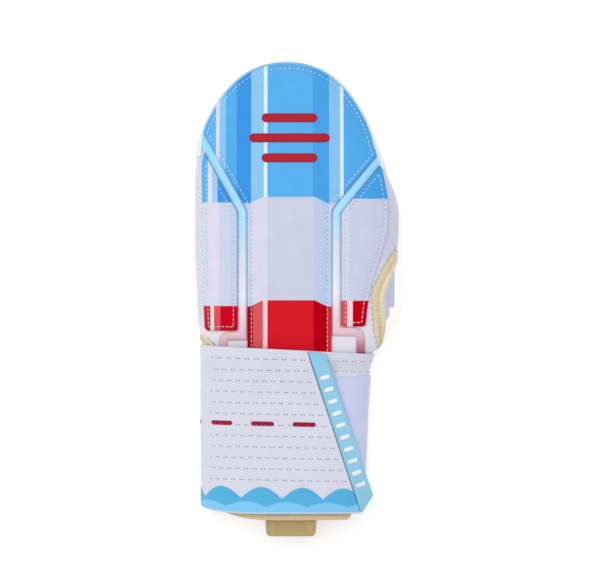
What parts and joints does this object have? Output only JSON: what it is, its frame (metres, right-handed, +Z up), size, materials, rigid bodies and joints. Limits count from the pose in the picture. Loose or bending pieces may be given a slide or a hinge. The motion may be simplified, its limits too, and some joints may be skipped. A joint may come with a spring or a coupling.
{
  "type": "sliding mitt",
  "caption": "Padded hand pouch for base running, with panelled back, rubber tip rim, bound thumb opening and a wide wrist strap closed by a slanting tab.",
  "frame": {"origin": "on the surface that the mitt lies on, below the middle of its length and width", "axes": "+Z up out of the back of the hand, +Y to the fingertips, +X to the thumb side"},
  "size_m": [0.1333, 0.3086, 0.0502],
  "materials": {
    "knit": "matte spacer knit",
    "print": "printed, lightly sheened polyester",
    "channel": "satin moulded strip",
    "rim": "satin moulded rubber",
    "plate": "coated fabric over a stiff plate",
    "emblem": "satin moulded rubber",
    "binding": "overlocked stretch binding",
    "elastic": "perforated woven elastic",
    "loop": "brushed loop",
    "tab": "satin moulded rubber",
    "rib": "satin moulded rubber",
    "hem": "folded tape",
    "pull": "satin moulded rubber"
  },
  "bodies": {
    "root": {"pouch": "knit", "palm_plate": "plate", "centre_panel": "print", "left_panel": "print", "right_panel": "print", "left_channel_strip": "channel", "right_channel_strip": "channel", "tip_bumper": "rim", "emblem_bar_1": "emblem", "emblem_bar_2": "emblem", "emblem_bar_3": "emblem", "thumb_binding": "binding", "side_vent_binding": "binding", "wrist_strap": "elastic", "loop_patch": "loop", "strap_tab": "tab", "tab_rib_1": "rib", "tab_rib_2": "rib", "tab_rib_3": "rib", "tab_rib_4": "rib", "tab_rib_5": "rib", "tab_rib_6": "rib", "tab_rib_7": "rib", "tab_rib_8": "rib", "tab_rib_9": "rib", "tab_rib_10": "rib", "cuff_binding": "hem", "pull_tab": "pull"}
  },
  "joints": []
}
